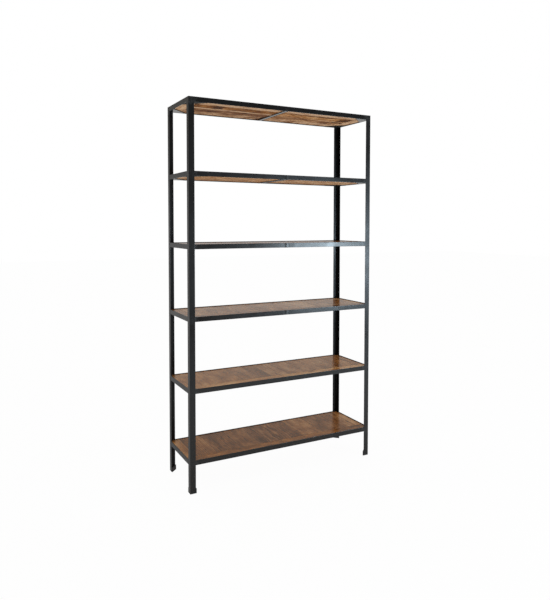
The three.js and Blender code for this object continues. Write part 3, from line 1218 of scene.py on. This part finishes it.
def build_board(number, hand):
    node = f"shelf_{number}_board_{hand}"
    low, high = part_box(node)
    chance = random.Random(900 + 10 * number + (hand == "right"))
    left_side, front_side = cad_bounds[0][:2]
    planks = TOP_PLANKS[number]
    staves = UNDER_STAVES[f"{number}_{hand}"]
    darker_stretches = DARKER_STRETCHES.get(f"{number}_{hand}", [])
    end_line = left_side + UNDER_END * MM if hand == "left" else cad_bounds[1][0] - UNDER_END * MM
    strip_line = front_side + FRONT_STRIP * MM
    plank_seams = [left_side + p[0] * MM for p in planks]
    plank_seams = [x for x in plank_seams if low.x + SEAM_CLEAR < x < high.x - SEAM_CLEAR]
    stave_seams = [front_side + s[0] * MM for s in staves[1:]]
    seeds = {}

    def seed_for(*key):
        if key not in seeds:
            seeds[key] = chance.random()
        return seeds[key]

    for plank in planks:
        seed_for("top", plank[0])
    for stave in staves:
        seed_for("under", stave[0])

    def top_cell(x, y):
        if y < strip_line:
            return *STRIP_LOOKS[number], seed_for("strip"), 0.0
        start, tone, warmth = pick(planks, (x - left_side) / MM)
        return tone, warmth, seed_for("top", start), 1.0

    def under_cell(x, y):
        if abs(x) > abs(end_line):
            return *UNDER_END_LOOK, seed_for("end"), 1.0
        start, tone, warmth = pick(staves, (y - front_side) / MM)
        for stave, begin, stop, dark, warm in darker_stretches:
            if stave == start and begin < (x - left_side) / MM < stop:
                return dark, warm, seed_for("dark", begin), 0.0
        return tone, warmth, seed_for("under", start), 0.0

    def top_groove(x, y, groove_x, groove_y):
        return groove_y or (groove_x and strip_line < y < high.y - RIM)

    def under_groove(x, y, groove_x, groove_y):
        if groove_x:
            return low.y + RIM < y < high.y - RIM
        return groove_y and low.x + RIM < x < high.x - RIM and abs(x) < abs(end_line)

    ends = (low.x, high.x, *((ARRIS, FINE_ARRIS) if hand == "left" else (FINE_ARRIS, ARRIS)))
    board = Board()
    xs = grid_lines(*ends, plank_seams)
    ys = grid_lines(low.y, high.y, ARRIS, ARRIS, [strip_line])
    top_rows = board.add_grid(xs, ys, high.z, 1, top_cell, top_groove)
    stretch_ends = {left_side + place * MM for piece in darker_stretches for place in piece[1:3]} - {end_line}
    xs = sorted(grid_lines(*ends, [end_line]) + [(x, 0, 0, 0) for x in stretch_ends])
    ys = grid_lines(low.y, high.y, ARRIS, ARRIS, stave_seams)
    low_rows = board.add_grid(xs, ys, low.z, -1, under_cell, under_groove)
    for top_row, low_row, look in zip(top_rows, low_rows, SIDE_LOOKS):
        board.add_face((*top_row, *reversed(low_row)), look, 0)
    name = f"shelf_{number}_wood_board_{hand}"
    piece = make_piece(name, board.vertices, board.faces, node, "oiled_wood", [LACQUERED, BARE], smooth=30)
    colours, turns = [], []
    for polygon, look, kind in zip(piece.data.polygons, board.looks, board.kinds):
        polygon.material_index = kind
        colours += [*look[:3], 1.0] * len(polygon.loop_indices)
        turns += [look[3]] * len(polygon.loop_indices)
    piece.data.attributes.new("stave", "FLOAT_COLOR", "CORNER").data.foreach_set("color", colours)
    piece.data.attributes.new("grain_across", "FLOAT", "CORNER").data.foreach_set("value", turns)
    set_points(piece, "edge", board.edges)
    set_points(piece, "seam", board.seams)
    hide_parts(node)
    return piece


for number in TRAY_TOPS:
    boards = [build_board(number, hand) for hand in ("left", "right")]
    print("shelf", number, "boards:", [len(b.data.polygons) for b in boards], "faces")

# %% [markdown]
# ## Feet
#
# The shoe under each post is a three-cornered block, a little wider than the post's legs. The
# post stands on its base, inside two raised walls. Its corners are soft, as moulded plastic
# always is: every edge gets a small radius, so light runs along it.

# %% Build the feet
FOOT_LEG, FOOT_TIP, FOOT_BASE, FOOT_HIGH = 34 * MM, 5 * MM, 5 * MM, 25 * MM
SOCKET_REACH, SOCKET_WALL = 30.3 * MM, 3.3 * MM
SOCKET_EASE = SOCKET_WALL + 2.4 * MM  # eased inner corner, clear of the post's fillet
FOOT_RADIUS = 0.5 * MM
FOOT_BORDER = [
    (0, 0), (SOCKET_REACH, 0), (FOOT_LEG, 0), (FOOT_LEG, FOOT_TIP),
    (FOOT_TIP, FOOT_LEG), (0, FOOT_LEG), (0, SOCKET_REACH),
]
FOOT_INNER = [
    (SOCKET_WALL, SOCKET_REACH), (SOCKET_WALL, SOCKET_EASE),
    (SOCKET_EASE, SOCKET_WALL), (SOCKET_REACH, SOCKET_WALL),
]


def build_foot(corner):
    node = f"foot_{corner}"
    at = from_heel(node)
    floor_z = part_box(node)[0].z
    bm = bmesh.new()

    def level(points, z):
        return [bm.verts.new(at(u, v, floor_z + z)) for u, v in points]

    def wall(lower, upper):
        """Faces between two rows of points."""
        for k in range(len(lower) - 1):
            bm.faces.new((lower[k], lower[k + 1], upper[k + 1], upper[k]))

    floor_ring = level(FOOT_BORDER, 0)
    step_ring = level(FOOT_BORDER, FOOT_BASE)
    step_inner = level(FOOT_INNER, FOOT_BASE)
    top_ring = level(FOOT_BORDER[1:], FOOT_HIGH)
    top_inner = level(FOOT_INNER, FOOT_HIGH)
    bm.faces.new(floor_ring)
    wall([*floor_ring, floor_ring[0]], [*step_ring, step_ring[0]])
    bm.faces.new([*step_ring[:2], *reversed(step_inner), step_ring[6]])
    wall(step_ring[1:], top_ring)
    wall([step_ring[6], *step_inner, step_ring[1]], [top_ring[5], *top_inner, top_ring[0]])
    bm.faces.new([*top_ring, *top_inner])
    bmesh.ops.recalc_face_normals(bm, faces=bm.faces)
    sharp = [e for e in bm.edges if e.is_manifold and e.calc_face_angle() > math.radians(20)]
    bevel_edges(bm, sharp, FOOT_RADIUS)
    mesh = bpy.data.meshes.new("plastic_" + node)
    bm.to_mesh(mesh)
    bm.free()
    piece = dress("plastic_" + node, mesh, "frame", "plastic_feet", [PLASTIC], smooth=50)
    # Every point counts as edge, so painted highlight specks fall all over the foot.
    set_points(piece, "edge", 0.6)
    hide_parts(node)
    print(piece.name, len(mesh.polygons), "faces")


for corner in CORNERS:
    build_foot(corner)

# %% [markdown]
# ## The frame's size
#
# The look must not change the object's size, so the box of the measured frame is printed once more.

# %% Finish
print("frame box:", cad_bounds)
